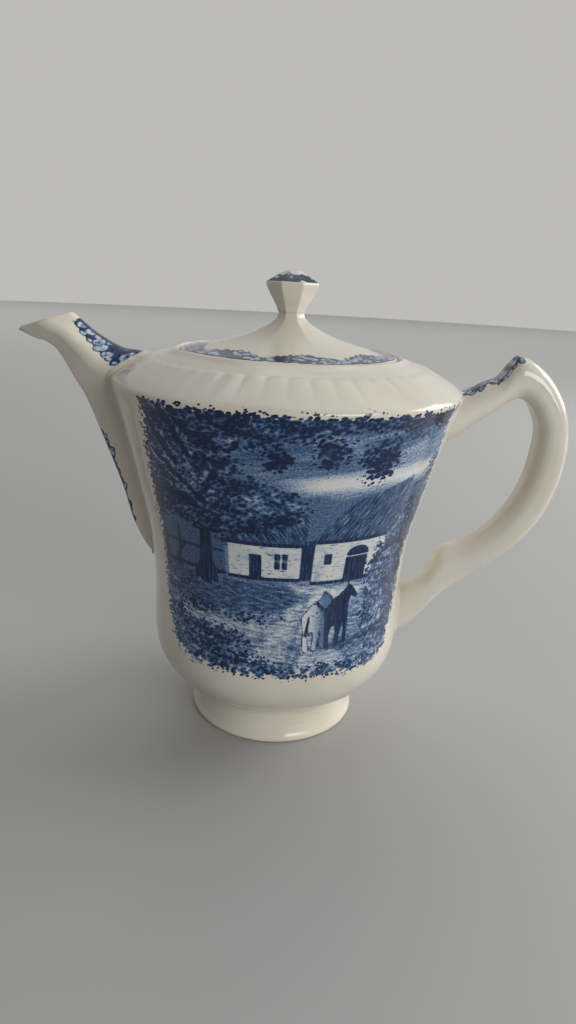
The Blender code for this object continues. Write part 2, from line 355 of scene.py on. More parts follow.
def spout_band(rings, shares):
    """Where the spout is printed: on the two sloping facets behind its ridge and down its narrow front."""
    along = reach_along(np.array([ring.mean(0) for ring in rings]))
    band = []
    for ring, share, from_lip in zip(rings, shares, along[-1] - along):
        near_edge = np.interp(from_lip, (4, 34), (SPOUT_RIDGE + 0.28, SPOUT_RIDGE + 0.08))
        roof = np.minimum((share - near_edge) * 22, (from_lip - 5) * 0.6)
        front = (0.09 - share) * 30 - 3.5 * smoothstep(62, 36, from_lip) - 3.5 * smoothstep(94, 112, from_lip)
        tip = np.minimum(1.0 - from_lip, (0.10 - share) * 20)
        across = np.where(share > 0.5, (share - 0.8) * 16, ring[:, 1])
        band.append(np.column_stack([np.full(len(ring), from_lip), across, union(roof, front, tip)]))
    return band


def make_spout(core):
    """The spout as a hollow tube from the wall to its lip, its print band, and a tree of its outside."""
    stations = spline(SPOUT_STATIONS, SPOUT_PER_SPAN)
    outer, shares = zip(*[spout_ring(station) for station in stations])
    inner = [spout_ring(station, SPOUT_WALL)[0] for station in stations[SPOUT_PER_SPAN:]]
    tree = side_tree(outer)
    band = spout_band(outer, shares)

    lip = []
    for share in (0.12, 0.3, 0.5, 0.7, 0.88):
        swell = np.array((-0.25, 0.0, 1.1)) * math.sin(math.pi * share)
        lip.append(outer[-1] * (1 - share) + inner[-1] * share + swell)
    unprinted = np.tile((0.0, 0.0, UNPRINTED), (SPOUT_RING, 1))
    rings = [*outer, *lip, *inner[::-1]]
    points, faces = tube_skin(rings)
    band = np.vstack([*band, *[unprinted] * (len(rings) - len(outer)), unprinted[:2]])
    spout = mesh_object("spout_glazed", points, faces)
    cut(spout, core)
    point_attribute(spout, "band", carried_over(spout, points, band))
    return spout, tree


# ---- handle

# From root to root over the top: x and z of the outer face, x and z of the inner face, the width.
HANDLE_STATIONS = [
    (46, 145, 43, 117, 20.4),
    (63, 150, 59.5, 127, 20),
    (76, 154.6, 71.5, 133.4, 19.6),
    (83.5, 158.4, 80.5, 140.5, 18.8),
    (90, 161.2, 88.5, 146.9, 18.2),
    (94, 167.2, 93.4, 150.4, 18),
    (97.4, 170.3, 98.3, 152.7, 18),
    (105.4, 166.6, 102.6, 151.2, 18),
    (113.4, 158.6, 106.2, 146.6, 17.8),
    (120, 146.6, 109, 139.2, 17.6),
    (HANDLE_BACK_X, 130, 108.8, 129, 17.4),
    (120.4, 112.6, 106.8, 117.2, 17.2),
    (115, 98.4, 102, 105.8, 17),
    (105.8, 85.8, 94.2, 94.9, 16.8),
    (93.5, 74.9, 84.2, 86.7, 16.4),
    (81.4, 65.7, 74.3, 82.9, 16),
    (74.4, 59, 70.6, 77, 15.8),
    (67.8, 50.8, 66.6, 69.2, 15.6),
    (61.8, 43.8, 58, 63, 15.4),
    (54, 38.4, 49, 57, 15.2),
    (40, 31, 36, 50, 15),
]
HANDLE_CORNER = 0.42
HANDLE_RING = 72


def handle_ring(station):
    """A rectangle with round corners in the plane of the station's outer and inner points. Also gives
    how far each point lies from the inner face (-1) to the outer face (1)."""
    outer, inner, width = station[0:2], station[2:4], station[4]
    thickness = math.dist(outer, inner)
    radius = HANDLE_CORNER * min(thickness, width)
    ring = []
    for quarter, (along, across) in enumerate([(1, 1), (-1, 1), (-1, -1), (1, -1)]):
        for step in range(9):
            turn = math.radians(90 * (quarter + step / 8))
            x = along * (thickness / 2 - radius) + radius * math.cos(turn)
            ring.append((x, across * (width / 2 - radius) + radius * math.sin(turn)))
    ring = even_ring(np.array(ring), HANDLE_RING)
    return in_plane(ring, (outer + inner) / 2, inner, outer), ring[:, 0] / (thickness / 2)


def make_handle(core):
    """The handle, its print band from the root to the thumb rest, and a tree of its surface."""
    rings, outness = zip(*[handle_ring(station) for station in spline(HANDLE_STATIONS, 10)])
    points, faces = tube_skin(rings)
    tree = side_tree(rings)
    along = reach_along(np.array([ring.mean(0) for ring in rings]))
    band = []
    for ring, out, reach in zip(rings, outness, along):
        inside = np.minimum((out - 0.8) * 8, np.minimum(6.4 - np.abs(ring[:, 1]), 62 - reach))
        band.append(np.column_stack([np.full(len(ring), reach), ring[:, 1], inside]))
    band = np.vstack([*band, [(0, 0, UNPRINTED)] * 2])
    handle = mesh_object("handle_glazed", points, faces)
    cut(handle, core)
    point_attribute(handle, "band", carried_over(handle, points, band))
    return handle, tree


# ---- the printed picture
# x runs round the pot from the middle of its front and z up it, in millimetres. A shape is a field that
# is above zero inside it, and tells the distance to its edge. A tone runs from 0, paper, to 1, solid ink.

HORIZON = 104
SKY_TONE, GROUND_TONE, HILL_TONE, SHED_TONE, ROOF_TONE = 0.50, 0.40, 0.52, 0.56, 0.52
BOUGH_TONE, SHRUB_TONE = 0.88, 0.66
LANE_END = 84
PRINT_TOP = 154.2
PALE_RUMP, DARK_RUMP = (15.0, 69.5), (24.5, 71.5)
DARK_HORSE_SIZE = 1.12
HORSE_TRUNK = [((0, 0), 4.4, 5), ((1.5, 2.6), 4, 4.6)]
HORSE_LIMBS = [
    ((2.2, 4.2), (4.8, 8.4), 3.2, 2), ((5, 9.2), (8, 6.2), 1.6, 0.9),
    ((4.4, 10.4), (4.3, 11.8), 0.5, 0.3), ((-2.2, -2.6), (-2.9, -8.2), 1.9, 0.9),
    ((-2.9, -8.2), (-2.5, -13), 0.9, 0.9), ((1.8, -2.8), (1.6, -8), 1.8, 0.9),
    ((1.6, -8), (1.1, -12.6), 0.9, 0.9), ((4.2, -0.6), (4.8, -6.4), 1.4, 0.8),
    ((4.8, -6.4), (4.5, -11.4), 0.8, 0.8),
]
HORSE_TAIL = ((-1.6, 1.4), (-2.6, -6.6), 0.45, 0.7)


def to_line(x, z, start, end):
    """Where the nearest point of a straight line is, from its start (0) to its end (1), and how far away."""
    (x0, z0), (x1, z1) = start, end
    share = ((x - x0) * (x1 - x0) + (z - z0) * (z1 - z0)) / ((x1 - x0) ** 2 + (z1 - z0) ** 2)
    share = np.clip(share, 0, 1)
    return share, np.hypot(x - x0 - share * (x1 - x0), z - z0 - share * (z1 - z0))


def polygon(x, z, corners):
    nearest = np.full(x.shape, np.inf)
    inside = np.zeros(x.shape, bool)
    for start, end in zip(corners, corners[1:] + corners[:1]):
        (x0, z0), (x1, z1) = start, end
        nearest = np.minimum(nearest, to_line(x, z, start, end)[1])
        inside ^= ((z0 > z) != (z1 > z)) & (x < (x1 - x0) * (z - z0) / ((z1 - z0) or 1) + x0)
    return np.where(inside, nearest, -nearest)


def rectangle(x, z, left, right, low, high):
    return polygon(x, z, [(left, low), (right, low), (right, high), (left, high)])


def limb(x, z, start, end, start_r, end_r):
    """A straight limb with round ends that tapers from one radius to another."""
    share, away = to_line(x, z, start, end)
    return start_r + (end_r - start_r) * share - away


def blob(x, z, middle, across, up, inset=0.0):
    return (1 - np.hypot((x - middle[0]) / across, (z - middle[1]) / up)) * min(across, up) - inset


def union(*fields):
    return np.maximum.reduce(fields)


def drawn(shape, x, z, rows):
    """The union of shapes of one kind, one for each row of what the kind takes."""
    return union(*[shape(x, z, *row) for row in rows])


def bell(distance, width):
    return np.exp(-((distance / width) ** 2))


def patch(x, z, middle, across, up):
    """A soft patch, 1 in its middle and fading to 0 round it."""
    return bell(np.hypot((x - middle[0]) / across, (z - middle[1]) / up), 1)


def house(x, z, left, right, ground, eaves, ridge, lean):
    """The wall, the roof and the dark eaves and plinth of a long low house. Its roof leans by lean."""
    wall = rectangle(x, z, left, right, ground, eaves)
    foot = [(left - 2, eaves - 1), (right + 2, eaves - 1)]
    roof = polygon(x, z, [*foot, (right + lean, ridge), (left + lean, ridge)])
    lines = [((left - 2, eaves), (right + 2, eaves), 0.8, 0.8), ((left, ground), (right, ground), 0.7, 0.7)]
    return wall, roof, drawn(limb, x, z, lines)


def cottages(x, z):
    """The pale walls, the dark details and the roofs of two cottages, and a timbered shed behind them."""
    left_wall, left_roof, left_trim = house(x, z, -19, 8, 87.5, 102.5, 116, 1.5)
    right_wall, _, right_trim = house(x, z, 13, 44, 86.0, 104.0, 121, -1.5)
    right_roof = polygon(x, z, [(10.5, 103), (47, 103), (49, 128), (24, 120.5)])
    gable = rectangle(x, z, 8, 13, 87, 103)
    shed = polygon(x, z, [(-60, 86), (-21, 88), (-21, 104), (-40, 107), (-60, 100)])
    openings = [(-11, -6.4, 87.5, 98), (-1.6, 3.2, 92, 98.8), (17, 20, 94, 98.6), (26, 36, 86, 97)]
    bars = [((0.8, 91), (0.8, 99)), ((-2, 95.6), (4, 95.6)), ((26, 96.6), (36, 96.6))]
    doors = union(drawn(rectangle, x, z, openings), blob(x, z, (31, 97), 5.0, 4.2))
    doors = np.minimum(doors, -drawn(limb, x, z, [(*bar, 0.4, 0.4) for bar in bars]))
    beams = [((-60, 96), (-21, 97.5), 0.5, 0.5), ((-47, 87), (-38, 97), 0.5, 0.5)]
    beams += [((-60, 86.5), (-21, 88), 0.9, 0.9)]
    walls = np.minimum(union(left_wall, right_wall), -doors)
    details = union(doors, left_trim, right_trim, gable - 0.3, drawn(limb, x, z, beams))
    return walls, details, union(left_roof, right_roof), shed


def horse(x, z, rump, scale):
    """A plain horse that walks away up the lane, from the place of its rump. Also gives its tail."""
    u, v = (x - rump[0]) / scale, (z - rump[1]) / scale
    shape = union(drawn(blob, u, v, HORSE_TRUNK), drawn(limb, u, v, HORSE_LIMBS))
    return shape * scale, limb(u, v, *HORSE_TAIL) * scale


def horses(x, z):
    """The pale horse, the dark horse, and the pale one's dark outline, tail and collar."""
    pale, tail = horse(x, z, PALE_RUMP, 1.0)
    dark, _ = horse(x, z, DARK_RUMP, DARK_HORSE_SIZE)
    outline = np.minimum(pale + 0.6, -pale)
    seen, tail = np.minimum(pale, -dark - 0.4), np.minimum(tail, -dark)
    collar = np.minimum(limb(x, z, (16.2, 77.2), (19.6, 73.4), 0.7, 0.7), seen)
    return pale, seen, dark, union(outline, tail, collar)


def land(x, z, roofs, shed):
    """The tone of the sky, the hills, the lane and the meadow, and how far a point is in the sky."""
    lane = [(6, 84.5), (40, 83), (31, 76), (24, 62), (33, 44), (-16, 44), (-4, 62), (4, 74), (14, 81)]
    lane += [(4, 82)]
    meadow = polygon(x, z, [(-64, 74), (-30, 71), (2, 73), (12, 80), (2, 86), (-64, 87)])
    stripe = bell(z - 127 - 0.06 * x, 3.6) * smoothstep(-4, 14, x)
    streaks = bell(z - 136 - 0.16 * (x - 30), 3.0) * smoothstep(18, 40, x)
    hills = smoothstep(122.5, 120.5, z - 1.4 * np.sin(x / 6.0)) * (z > 100)
    tone = np.where(z > HORIZON, SKY_TONE - 0.56 * stripe - 0.16 * streaks, GROUND_TONE)
    tone = np.where(hills > 0.5, HILL_TONE, tone)
    tone = np.where(shed > 0, SHED_TONE, tone)
    worn = smoothstep(-1.5, 3.0, polygon(x, z, lane)) * (z < 86)
    tone = tone - (0.18 + 0.20 * smoothstep(66, 84, z)) * worn
    tone += 0.19 * smoothstep(-1, 2, meadow)
    tone -= 0.16 * bell(z - 65.5, 2.6) * smoothstep(-56, -46, x) * smoothstep(6, -4, x)
    for rut in (-4.0, 5.0):
        middle = 17 + rut + (z - LANE_END) * (0.32 + 0.02 * rut)
        tone += 0.22 * bell(x - middle, 1.3) * smoothstep(LANE_END, 76, z)
    tone = np.where(roofs > 0, ROOF_TONE, tone)
    tone += 0.35 * patch(x, z, (22, 57.5), 17, 2.6)
    return tone, (z > HORIZON) * (1 - hills)


def planting(x, z):
    """The trunks of the trees, the leaves of trees and shrubs, and the leaves' tone, with painted shade
    towards the print's right edge.
    """
    trunks = [((-29.5, 85), (-28, 104), 3.4, 2.3), ((-28, 104), (-26, 124), 2.3, 1.6)]
    trunks += [((-34, 83.4), (-30.5, 89.5), 1.1, 2.2), ((-24.6, 83.8), (-27, 90), 1.0, 2.0)]
    trunks += [((-28, 108), (-18, 120), 1.3, 0.8), ((-52, 84), (-49, 118), 1.6, 1.0)]
    trunks += [((-28, 112), (-42, 124), 1.2, 0.7), ((-43, 86), (-41, 104), 0.8, 0.6)]
    crown_low = [(-70, 165), (-70, 106), (-56, 104), (-44, 108), (-30, 105), (-17, 104), (-5, 106), (5, 111)]
    crown_side = [(10, 118), (6, 124), (-4, 127), (-12, 131), (-16, 137), (-8, 141), (2, 143), (12, 147)]
    crown_top = [(30, 148), (48, 147), (70, 152), (74, 165)]
    sprays = [((31, 137), 11, 14, 3.6), ((14, 140), 9, 10, 3.4), ((44, 149), 11, 8, 2.6)]
    sprays += [((57, 151), 10, 7, 2.6), ((-2, 137), 8, 7, 2.6)]
    boughs = union(polygon(x, z, crown_low + crown_side + crown_top), drawn(blob, x, z, sprays))
    shrubs = [((-30, 56), 19, 10), ((-48, 60), 9, 9), ((-12, 48), 18, 5.5), ((30, 45.5), 34, 4.5)]
    shrubs += [((46, 86), 9, 16), ((56, 96), 13, 22), ((50, 66), 13, 17), ((62, 122), 5, 16)]
    shrubs += [((-50, 79), 12, 3.5), ((-27, 71), 27, 3.0)]
    shrubs = drawn(blob, x, z, shrubs)
    branches = [((-50, 152), (-36, 131), 0.5, 0.9), ((-40, 154), (-31, 136), 0.5, 0.9)]
    branches += [((-26, 122), (-13, 143), 1.0, 0.5), ((-27, 118), (-46, 134), 0.9, 0.5)]
    branches = drawn(limb, x, z, branches)
    tone = np.where(boughs > shrubs, BOUGH_TONE, SHRUB_TONE)
    tone = tone + 0.25 * smoothstep(-0.8, 0.4, branches) - 0.22 * bell(branches + 1.5, 0.8)
    tone = tone - 0.22 * patch(x, z, (-8, 122), 16, 6) - 0.20 * patch(x, z, (-42, 127), 12, 6)
    # Painted shade and reflection: the leaves darken from x 44 to 58, standing in for the dark reflection of
    # the room and the shade on that side of the pot.
    tone = tone + 0.16 * patch(x, z, (-25, 52), 12, 6) + 0.14 * smoothstep(44, 58, x)
    return drawn(limb, x, z, trunks), union(boughs, shrubs), tone


def picture(x, z):
    """A made-up country scene: two cottages among trees, a lane and two horses. It gives, for each point,
    (paper tone, leaf tone, leaves), (light shapes, dark shapes, roofs) and (sky, rough ground, panel)."""
    walls, details, roofs, shed = cottages(x, z)
    pale_horse, pale_seen, dark_horse, drawing = horses(x, z)
    trunks, leaves, leaf_tone = planting(x, z)
    tone, sky = land(x, z, roofs, shed)
    tone = np.where(pale_seen > -0.8, 0.06 + 0.42 * smoothstep(13.0, 20.0, x), tone)

    left_edge = [(-47, 156), (-50.5, 140), (-53, 123), (-55.5, 101), (-56.5, 82), (-54, 62), (-48, 49)]
    right_edge = [(48, 43), (58, 48), (66, 70), (68, 110), (66, 134), (63, 148), (68, 156)]
    panel = polygon(x, z, left_edge + [(-36, 43.5), (0, 43)] + right_edge)
    panel = np.minimum(panel, 1.5 * (PRINT_TOP - z))
    return (
        np.stack([tone, leaf_tone, leaves], axis=-1),
        np.stack([union(walls, pale_horse), union(details, trunks, dark_horse, drawing), roofs], axis=-1),
        np.stack([sky, smoothstep(88, LANE_END, z), panel], axis=-1),
    )


# ---- body

# The azimuth where each stretch of the body's columns starts, and the step between them up to the next.
COLUMN_STEPS = [
    (-105, 0.42), (-75, 0.9), (-48, 1.3), (-20, 0.72), (42, 1.3), (77, 0.45),
    (103, 1.3), (148, 0.78), (210, 1.3), (228, 0.9), (255, None),
]
BACK_SHIFT = 12.0
BACK_OFFSET = 200.0
# Heights from, to and between the rows of the body's side.
ROW_SPANS = [
    (WALL[EDGE_ROW, 1] - 0.9, 104, 1.1), (104, 54, 0.8),
    (54, 42, 1), (42, 15.5, 1.2),
]
SPOUT_FILLET = 2.0
HANDLE_FILLET = 1.6
FILLET_REACH = 16
SHOULDER_LOBES, LOBE_RISE = 48, 0.42
RIM_LOBES, RIM_LOBE_DEPTH = 8, 0.45
RIB_HALF_WIDTH, RIB_RISE, GROOVE_DEPTH = 33, 0.7, 0.45


def cavity_wall():
    """The body's inside, from the middle of its floor up to the ledge and the gallery round the lid."""
    floor_z = UNDERSIDE_Z + 4.5
    side = [(30, floor_z), (40, 22.8), (48.2, 31), (51.6, 46), (51.5, 66), (52.8, 88)]
    side += [(57, 108), (62.2, 130), (66.6, 146.5), (66.6, 152.6), (60, 156.2), (50, 159.4)]
    side += [(40, 159.8)]
    neck = [(38, 161.2), (38, 163.2), (38.8, 164), (45.4, 164), (46.1, 164.6), (46.2, 166.6)]
    return np.vstack([[(0, floor_z), (16, floor_z)], spline(side, 2), neck])


def wall_rows():
    """The outer wall's rows, closest together where the print is finest."""
    shoulder = resampled(WALL[: EDGE_ROW + 1], 0.95)
    side = WALL[EDGE_ROW:]
    heights = [np.arange(top, low, -step) for top, low, step in ROW_SPANS]
    heights = np.concatenate([*heights, [UNDERSIDE_Z]])
    radii = np.interp(heights, side[::-1, 1], side[::-1, 0])
    return np.vstack([shoulder, np.column_stack([radii, heights])])


def moulding(radius, height, azimuths):
    """How far the moulded relief stands out of the wall: the shoulder's lobes and the rib by the spout."""
    on_shoulder = height > SHOULDER_Z
    lobes = np.sqrt(np.abs(np.sin(np.radians(SHOULDER_LOBES / 2 * azimuths))))
    start = 57.6 - 1.6 * lobes
    reach = smoothstep(start, start + 2.0, radius) * (1 - 0.6 * smoothstep(58.0, 66.0, radius))
    reach *= 1 - smoothstep(66.0, 72.0, radius)
    relief = np.where(on_shoulder, LOBE_RISE * reach * lobes, 0.0)
    from_spout = np.abs((azimuths - SPOUT_AZIMUTH + 180) % 360 - 180) * np.radians(radius)
    far_edge = RIB_HALF_WIDTH + 0.32 * np.maximum(height - 118, 0)
    rib = smoothstep(far_edge + 1.2, far_edge - 1.2, from_spout) * smoothstep(10.5, 13.5, from_spout)
    groove = bell(from_spout - far_edge - 1.2, 1.0)
    fade = smoothstep(66.0, 92.0, height) * smoothstep(SHOULDER_Z, SHOULDER_Z - 5.0, height)
    return relief + (RIB_RISE * rib - GROOVE_DEPTH * groove) * fade


def gap_to(tree, point):
    """The distance from a point to the tree's surface, below zero inside it."""
    near, normal, _, distance = tree.find_nearest(Vector(point), 30.0)
    if near is None:
        return 30.0
    return math.copysign(distance, (Vector(point) - near).dot(normal))


def fillet_rise(tree, point, normal, size, hidden):
    """How far a point of the wall moves out along its normal to lie on a round fillet of that size.
    Under the joined piece the wall stays up as far as hidden reaches, so that no gap opens."""
    start = gap_to(tree, point)
    if start >= size or start < -hidden:
        return 0.0
    if start <= 0:
        return size
    low, high = 0.0, size
    for _ in range(7):
        middle = (low + high) / 2
        gap = min(gap_to(tree, point + normal * middle), size)
        if math.hypot(size - middle, size - gap) > size:
            low = middle
        else:
            high = middle
    return (low + high) / 2


def body_azimuths():
    stretches = []
    for (low, step), (high, _) in zip(COLUMN_STEPS, COLUMN_STEPS[1:]):
        stretches.append(np.linspace(low, high, round((high - low) / step), endpoint=False))
    return np.concatenate(stretches)


def make_body(spout_tree, handle_tree):
    """The pot with its relief, its fillets and its cavity."""
    inside, outside = cavity_wall(), wall_rows()
    under = np.array([(28.0, UNDERSIDE_Z), (14.0, UNDERSIDE_Z), (0.0, UNDERSIDE_Z)])
    profile = np.vstack([inside, outside, under])
    azimuths = body_azimuths()
    turn = np.radians(azimuths)
    radius, height = turned(profile, azimuths)
    first, last = len(inside), len(inside) + len(outside)
    outer_r, outer_z = radius[first:last], height[first:last]

    normals = wall_normals(outside)
    relief = moulding(outer_r, outer_z, azimuths[None, :])
    lobed = RIM_LOBE_DEPTH * (1 - smoothstep(47.5, 52.0, outer_r)) * np.cos(np.radians(RIM_LOBES * azimuths))
    lobed *= outer_z > SHOULDER_Z
    outer_r += normals[:, :1] * relief - lobed
    outer_z += normals[:, 1:] * relief
    for tree, centre, size, hidden in (
        (spout_tree, SPOUT_AZIMUTH, SPOUT_FILLET, SPOUT_WALL - 0.7),
        (handle_tree, HANDLE_AZIMUTH, HANDLE_FILLET, 30.0),
    ):
        away = np.abs((azimuths - centre + 180) % 360 - 180)
        for j in np.flatnonzero(away < FILLET_REACH):
            out = np.array([math.sin(turn[j]), -math.cos(turn[j])])
            for i in range(len(outside) - 1):
                point = np.array([*(outer_r[i, j] * out), outer_z[i, j]])
                normal = np.array([*(normals[i, 0] * out), normals[i, 1]])
                rise = fillet_rise(tree, point, normal, size, hidden)
                outer_r[i, j] += normals[i, 0] * rise
                outer_z[i, j] += normals[i, 1] * rise
    points, faces, _ = turned_skin(radius, height, azimuths)
    return mesh_object("body_glazed", points, faces)


def lay_picture(body):
    """Gives each point of the body its place in the picture, which is printed on the front and again on
    the back, and the picture's fields there."""
    points = points_mm(body)
    azimuths = np.degrees(np.arctan2(points[:, 0], -points[:, 1]))
    back = np.abs(azimuths) > 90
    x = np.where(back, azimuths % 360 - 180 + BACK_SHIFT, azimuths)
    z = points[:, 2]
    ground, shapes, strokes = picture(x, z)
    under_glaze = 2.0
    inner = np.hypot(points[:, 0], points[:, 1]) < wall_radius(z) - under_glaze
    strokes[inner, 2] = UNPRINTED
    place = np.column_stack([x + BACK_OFFSET * back, z, np.zeros(len(x))])
    for name, values in (("place", place), ("ground", ground), ("shapes", shapes), ("strokes", strokes)):
        point_attribute(body, name, values)


def make_strainer_cutter():
    """Round pins where tea leaves the cavity for the spout: one in the middle and six round it."""
    pitch, hole_r, middle_z, sides = 6.2, 2.3, 112.0, 20
    angles = [math.radians(60 * i + 30) for i in range(6)]
    places = [(0.0, 0.0)] + [(pitch * math.cos(angle), pitch * math.sin(angle)) for angle in angles]
    outer_end, inner_end = (-72, 0, 0), (-48, 0, 0)
    turn = np.arange(sides) * 2 * math.pi / sides
    all_points, all_faces = [], []
    for across, up in places:
        y, z = across + hole_r * np.cos(turn), middle_z + up + hole_r * np.sin(turn)
        ring = np.column_stack([np.zeros(sides), y, z])
        points, faces = tube_skin([ring + outer_end, ring + inner_end])
        start = sum(len(group) for group in all_points)
        all_points.append(points)
        all_faces += [tuple(start + corner for corner in face) for face in faces]
    return mesh_object("strainer", np.vstack(all_points), all_faces)


# ---- foot ring, lid and knob


def make_foot_ring():
    """The foot ring, a closed profile from its top outer corner down, under and up its inside."""
    corner = (39.6, 17)
    profile = [corner, (37.6, 15.4), (36.7, 13.4), (36.5, 10.6), (36.7, 7.4), (37.3, 4.4), (38.2, 2.4)]
    profile += [(FOOT_R, 1.4), (FOOT_R - 0.1, 0.6), (FOOT_R - 0.8, 0), (31.8, 0), (31, 0.8)]
    profile += [(31.4, 6), (32, 12), (31.2, 14.6), (30, 17), corner]
    line = resampled(softened(profile, 0.35), 0.5)[:-1]
    return turned_piece("foot_ring_glazed", line, 1.5)[0]


def band_on(piece, kept, along, across, inside):
    """Gives a turned piece its print band, worked out on its grid."""
    band = np.stack([np.broadcast_to(along, across.shape), across, inside], axis=-1).reshape(-1, 3)
    point_attribute(piece, "band", band[kept])


def make_lid():
    """The lid with its flange. Eight soft facets round the neck fade out towards the rim."""
    top_z = KNOB_BASE_Z + 0.5
    under_z, rim_top = 164.3, 167.0
    hollow = spline([(0, 173.2), (10, 172), (20, 168.9), (30, 166.4), (33.9, 164.6)], 4)
    flange = [(33.9, 154), (34.5, LID_FLANGE_Z), (36.5, LID_FLANGE_Z)]
    flange += [(LID_FLANGE_R, 153.8), (LID_FLANGE_R, 163.4), (37.8, under_z)]
    rim = [(44.6, under_z), (LID_R, 165), (LID_R, 166.5), (44.7, 167.3)]
    sweep = [(44.6, 167.3), (38, 168.4), (28, 170.9), (18, 174.1), (10, 178)]
    sweep += [(6.4, 180.8), (5.6, top_z)]
    line = softened(np.vstack([hollow, flange, rim, spline(sweep, 8)[1:]]), 0.35)
    line = np.vstack([resampled(line, 0.8), [(0.0, top_z)]])
    line[0, 0] = 0.0
    outside = line[:, 1:] > rim_top
    share = np.where(outside, 0.8 * (1 - smoothstep(8.0, 42.0, line[:, :1])), 0.0)
    lid, azimuths, radius, height, kept = turned_piece("lid_glazed", line, 1.125, share)
    inner_edge = 39.0 - 5.0 * np.abs(np.sin(np.radians(4 * (azimuths + 14.5))))
    inside = np.minimum(radius - inner_edge, LID_R - 0.2 - radius)
    inside = np.where(height > rim_top, inside, UNPRINTED)
    band_on(lid, kept, azimuths * math.radians(40.0), radius - 41.0, inside)
    return lid


def make_knob():
    """The knob, a soft octagon that flares to its rim under a low printed cap."""
    flare = [(5.2, KNOB_BASE_Z), (5.9, 183.2), (6.8, 185.4), (8.8, 188.6), (11.1, 192.6), (11.6, 194.2)]
    cap = [(11.5, KNOB_RIM_Z), (7.4, 197.2), (3.6, 199.1), (1.2, KNOB_TOP_Z - 0.1), (0, KNOB_TOP_Z)]
    line = softened(np.vstack([spline(flare, 8), spline(cap, 8)]), 0.3)
    line = np.vstack([[(0.0, KNOB_BASE_Z)], resampled(line, 0.45)])
    line[-1] = (0.0, KNOB_TOP_Z)
    knob, azimuths, radius, height, kept = turned_piece("knob_glazed", line, 2.25, 1.0)
    inside = np.where(height > KNOB_RIM_Z, np.minimum(11.4 - radius, radius - 5.4), UNPRINTED)
    band_on(knob, kept, azimuths * math.radians(7.0), radius - 6.0, inside)
    return knob


# ---- camera, floor and light

CAMERA_PLACE = (AXIS_X * MM, -0.30134, 0.1964)
CAMERA_YAW, CAMERA_PITCH, CAMERA_ROLL = 0.59, 18.46, 3.13
CAMERA_LENS = 24.61
FLOOR_REACH = 4000.0
FLOOR_COLOUR, FLOOR_ROUGHNESS = (0.375, 0.375, 0.37), 0.42
WORLD_COLOUR = (0.88, 0.87, 0.86)
WORLD_FADE = {"From Min": -0.6, "From Max": 0.8, "To Min": 0.15, "To Max": 0.58}
POT_MIDDLE = Vector((AXIS_X * MM, 0.0, 0.1))


def make_camera():
    yaw, pitch, roll = (math.radians(angle) for angle in (CAMERA_YAW, CAMERA_PITCH, CAMERA_ROLL))
    forward = Vector((math.sin(yaw) * math.cos(pitch), math.cos(yaw) * math.cos(pitch), -math.sin(pitch)))
    level = Vector((math.cos(yaw), -math.sin(yaw), 0.0))
    upright = level.cross(forward)
    right = math.cos(roll) * level + math.sin(roll) * upright
    up = math.cos(roll) * upright - math.sin(roll) * level
    data = bpy.data.cameras.new("camera")
    data.sensor_width = 36.0
    data.lens = CAMERA_LENS
    data.clip_start = 0.01
    camera = bpy.data.objects.new("camera", data)
    turned_to = Matrix((right, up, -forward)).transposed().to_4x4()
    camera.matrix_world = Matrix.Translation(CAMERA_PLACE) @ turned_to
    bpy.context.scene.collection.objects.link(camera)
    bpy.context.scene.camera = camera


def make_floor():
    turn = np.radians(np.arange(0, 360, 5))
    points = np.column_stack([np.sin(turn), -np.cos(turn), np.zeros(len(turn))]) * FLOOR_REACH
    floor = mesh_object("floor", points, [tuple(range(len(turn)))])
    floor.data.shade_flat()
    material, nodes = new_material("pale_floor")
    nodes.feed(nodes.shader, {"Base Color": (*FLOOR_COLOUR, 1), "Roughness": FLOOR_ROUGHNESS})
    floor.data.materials.append(material)


def area_light(name, place, size, power):
    """A soft rectangular light that shines straight down until it is turned."""
    data = bpy.data.lights.new(name, "AREA")
    data.shape = "RECTANGLE"
    data.size, data.size_y = size
    data.energy = power
    light = bpy.data.objects.new(name, data)
    light.location = place
    bpy.context.scene.collection.objects.link(light)
    return light


def light_on_pot(name, azimuth, elevation, distance, size, power):
    """A light that looks at the pot from an azimuth and an elevation."""
    turn, rise = math.radians(azimuth), math.radians(elevation)
    way = Vector((math.sin(turn) * math.cos(rise), -math.cos(turn) * math.cos(rise), math.sin(rise)))
    light = area_light(name, POT_MIDDLE + way * distance, size, power)
    light.rotation_euler = way.to_track_quat("Z", "Y").to_euler()


def make_light():
    """Three soft lights on the pot, an unseen one on the floor behind it, which pales towards the backdrop,
    and a world that is dim behind the camera and pale behind the pot."""
    bpy.context.scene.view_settings.view_transform = "Standard"
    world = bpy.data.worlds.new("studio")
    bpy.context.scene.world = world
    world.use_nodes = True
    nodes = Nodes(world.node_tree, "Background")
    depth = nodes.parts(nodes.node("TexCoord")["Generated"])["Y"]
    strength = nodes.node("MapRange", {"Value": depth, **WORLD_FADE})["Result"]
    nodes.feed(nodes.shader, {"Color": (*WORLD_COLOUR, 1), "Strength": strength})
    light_on_pot("window", 110, 22, 1.4, (0.9, 0.7), 12)
    light_on_pot("overhead", 150, 70, 1.2, (1.2, 0.9), 2.0)
    far_floor = area_light("far_floor", (0.0, 2.5, 1.2), (7.0, 2.6), 55)
    far_floor.visible_camera = far_floor.visible_glossy = False
    light_on_pot("front_fill", 38, 16, 2.0, (1.3, 0.8), 22.5)


# ---- materials


